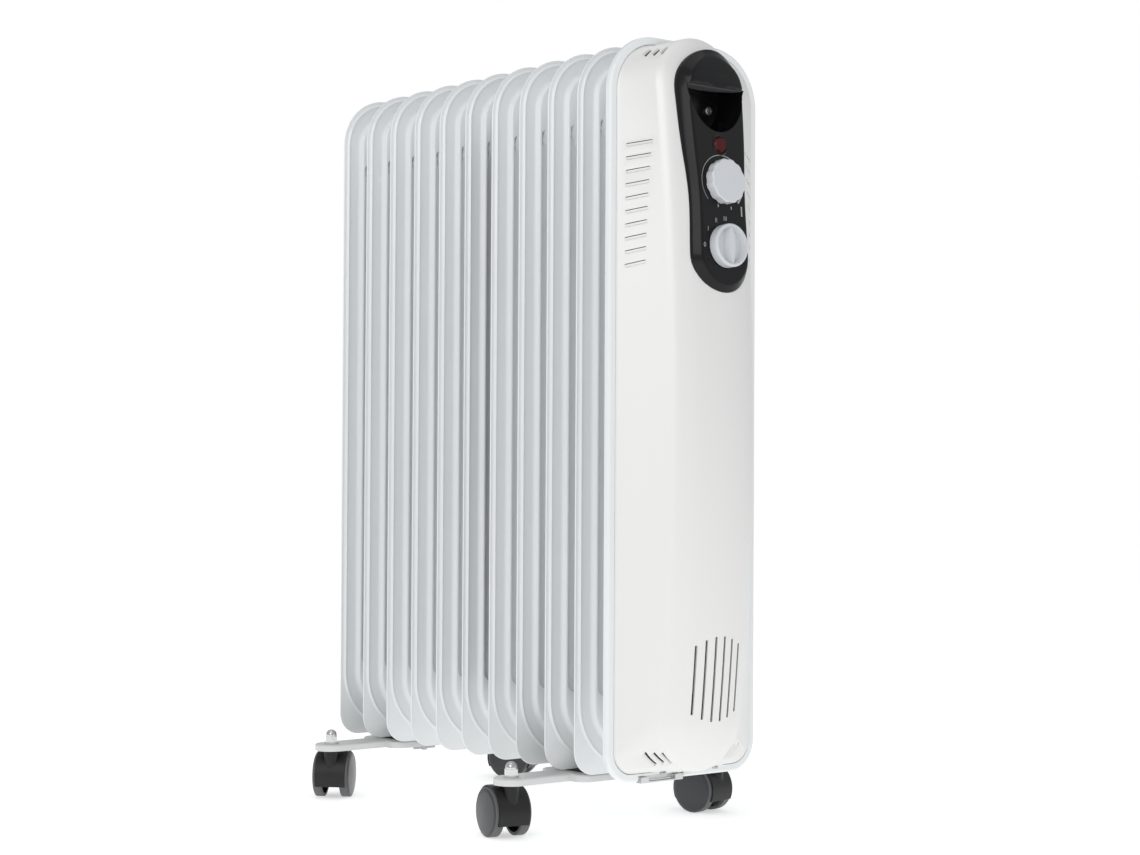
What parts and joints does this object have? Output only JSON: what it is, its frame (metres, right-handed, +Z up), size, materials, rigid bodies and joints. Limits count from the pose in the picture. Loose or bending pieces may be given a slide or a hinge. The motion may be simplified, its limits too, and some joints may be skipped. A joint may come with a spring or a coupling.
{
  "type": "oil filled radiator heater",
  "caption": "Oil filled radiator heater: tall hollow white fins on two headers, a bowed front cover with a black control panel, two knobs, and twin wheel castors on two cross brackets.",
  "frame": {"origin": "on the floor, under the middle of the whole heater", "axes": "+Z up, -Y the way the control panel faces, +X to the right of someone facing the panel"},
  "size_m": [0.2568, 0.4534, 0.6423],
  "materials": {
    "enamel": "cool white gloss enamel",
    "cover_enamel": "warm white gloss enamel",
    "panel_plastic": "black gloss moulding",
    "lens_plastic": "dark red lens",
    "knob_plastic": "silvery white knob",
    "inner_plastic": "plain switch and block bodies",
    "wire_sleeve": "woven glass sleeve",
    "castor_plastic": "black nylon",
    "wheel_plastic": "grey black wheel with a grey tread",
    "pad_rubber": "black rubber strip",
    "element_steel": "plain steel",
    "screw_steel": "zinc plated steel",
    "clip_steel": "bright spring steel",
    "nut_chrome": "bright plated nuts and washers"
  },
  "bodies": {
    "radiator": {"fin_01": "enamel", "fin_02": "enamel", "fin_03": "enamel", "fin_04": "enamel", "fin_05": "enamel", "fin_06": "enamel", "fin_07": "enamel", "fin_08": "enamel", "fin_09": "enamel", "fin_10": "enamel", "upper_header": "enamel", "lower_header": "enamel", "filler_plug": "enamel", "front_tray": "enamel", "front_cover": "cover_enamel", "front_bracket": "enamel", "rear_bracket": "enamel", "front_bracket_pad": "pad_rubber", "rear_bracket_pad": "pad_rubber", "heating_element": "element_steel", "element_flange": "element_steel", "control_panel": "panel_plastic", "indicator_lens": "lens_plastic", "indicator_lamp": "inner_plastic", "panel_screws": "screw_steel", "thermostat": "inner_plastic", "selector_switch": "inner_plastic", "terminal_block": "inner_plastic", "thermal_cutout": "inner_plastic", "wiring_loom": "wire_sleeve", "cord_bush": "castor_plastic", "cover_clip": "clip_steel", "cover_screws": "screw_steel", "front_u_bolt": "screw_steel", "rear_u_bolt": "screw_steel", "wing_nuts": "screw_steel", "acorn_nuts": "nut_chrome", "castor_washers": "nut_chrome", "castor_stems": "screw_steel"},
    "thermostat_dial": {"thermostat_knob": "knob_plastic", "thermostat_spindle": "screw_steel"},
    "power_dial": {"power_knob": "knob_plastic", "selector_spindle": "screw_steel"},
    "front_left_castor": {"front_left_castor_hood": "castor_plastic", "front_left_castor_axle": "screw_steel"},
    "front_left_wheel_left": {"front_left_wheel_left": "wheel_plastic"},
    "front_left_wheel_right": {"front_left_wheel_right": "wheel_plastic"},
    "front_right_castor": {"front_right_castor_hood": "castor_plastic", "front_right_castor_axle": "screw_steel"},
    "front_right_wheel_left": {"front_right_wheel_left": "wheel_plastic"},
    "front_right_wheel_right": {"front_right_wheel_right": "wheel_plastic"},
    "rear_left_castor": {"rear_left_castor_hood": "castor_plastic", "rear_left_castor_axle": "screw_steel"},
    "rear_left_wheel_left": {"rear_left_wheel_left": "wheel_plastic"},
    "rear_left_wheel_right": {"rear_left_wheel_right": "wheel_plastic"},
    "rear_right_castor": {"rear_right_castor_hood": "castor_plastic", "rear_right_castor_axle": "screw_steel"},
    "rear_right_wheel_left": {"rear_right_wheel_left": "wheel_plastic"},
    "rear_right_wheel_right": {"rear_right_wheel_right": "wheel_plastic"}
  },
  "joints": [
    {"name": "thermostat_turn", "type": "hinge", "parent": "radiator", "child": "thermostat_dial", "pos_m": [0, -0.21311, 0.523], "axis": [0, -0.996, 0.0898], "range_deg": [-300, 0]},
    {"name": "power_turn", "type": "hinge", "parent": "radiator", "child": "power_dial", "pos_m": [0, -0.21711, 0.472], "axis": [0, -0.9978, 0.0665], "range_deg": [0, 90]},
    {"name": "front_left_swivel", "type": "hinge", "parent": "radiator", "child": "front_left_castor", "pos_m": [-0.1111, -0.08774, 0.035], "axis": [0, 0, 1], "continuous": true},
    {"name": "front_left_left_roll", "type": "hinge", "parent": "front_left_castor", "child": "front_left_wheel_left", "pos_m": [-0.09449, -0.07696, 0.02], "axis": [0.9781, -0.2079, 0], "continuous": true},
    {"name": "front_left_right_roll", "type": "hinge", "parent": "front_left_castor", "child": "front_left_wheel_right", "pos_m": [-0.12188, -0.07114, 0.02], "axis": [0.9781, -0.2079, 0], "continuous": true},
    {"name": "front_right_swivel", "type": "hinge", "parent": "radiator", "child": "front_right_castor", "pos_m": [0.1111, -0.08774, 0.035], "axis": [0, 0, 1], "continuous": true},
    {"name": "front_right_left_roll", "type": "hinge", "parent": "front_right_castor", "child": "front_right_wheel_left", "pos_m": [0.12246, -0.07152, 0.02], "axis": [0.9848, 0.1736, 0], "continuous": true},
    {"name": "front_right_right_roll", "type": "hinge", "parent": "front_right_castor", "child": "front_right_wheel_right", "pos_m": [0.09488, -0.07638, 0.02], "axis": [0.9848, 0.1736, 0], "continuous": true},
    {"name": "rear_left_swivel", "type": "hinge", "parent": "radiator", "child": "rear_left_castor", "pos_m": [-0.1111, 0.17826, 0.035], "axis": [0, 0, 1], "continuous": true},
    {"name": "rear_left_left_roll", "type": "hinge", "parent": "rear_left_castor", "child": "rear_left_wheel_left", "pos_m": [-0.0913, 0.17826, 0.02], "axis": [0.7071, -0.7071, 0], "continuous": true},
    {"name": "rear_left_right_roll", "type": "hinge", "parent": "rear_left_castor", "child": "rear_left_wheel_right", "pos_m": [-0.1111, 0.19806, 0.02], "axis": [0.7071, -0.7071, 0], "continuous": true},
    {"name": "rear_right_swivel", "type": "hinge", "parent": "radiator", "child": "rear_right_castor", "pos_m": [0.1111, 0.17826, 0.035], "axis": [0, 0, 1], "continuous": true},
    {"name": "rear_right_left_roll", "type": "hinge", "parent": "rear_right_castor", "child": "rear_right_wheel_left", "pos_m": [0.11555, 0.19755, 0.02], "axis": [0.848, 0.5299, 0], "continuous": true},
    {"name": "rear_right_right_roll", "type": "hinge", "parent": "rear_right_castor", "child": "rear_right_wheel_right", "pos_m": [0.09181, 0.18271, 0.02], "axis": [0.848, 0.5299, 0], "continuous": true}
  ]
}
